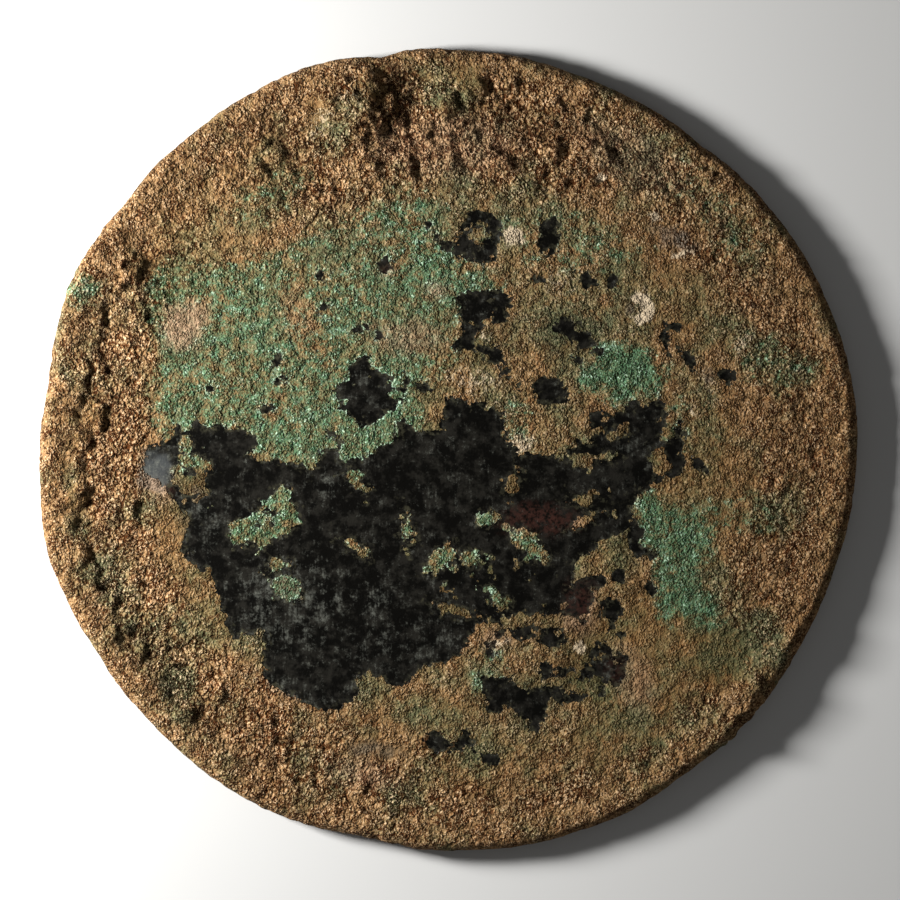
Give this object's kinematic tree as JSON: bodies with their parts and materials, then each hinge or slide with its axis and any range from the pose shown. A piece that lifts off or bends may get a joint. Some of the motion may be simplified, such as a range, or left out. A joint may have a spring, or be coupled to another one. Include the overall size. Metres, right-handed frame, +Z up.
{
  "type": "bronze mirror",
  "caption": "Plain round ancient mirror of cast bronze, thickly corroded green and brown, with patches of black polished patina, lying face up.",
  "frame": {"origin": "on the surface that the mirror lies on, under the middle of its outline", "axes": "+Z up, out of the mirror's face; +Y to the top of the face as the camera looks down on it; +X to its right"},
  "size_m": [0.162, 0.1586, 0.0054],
  "materials": {
    "corroded_bronze": "rough green, tan and brown corrosion crust, with patches of black polished patina"
  },
  "bodies": {
    "root": {"mirror_disc": "corroded_bronze"}
  },
  "joints": []
}
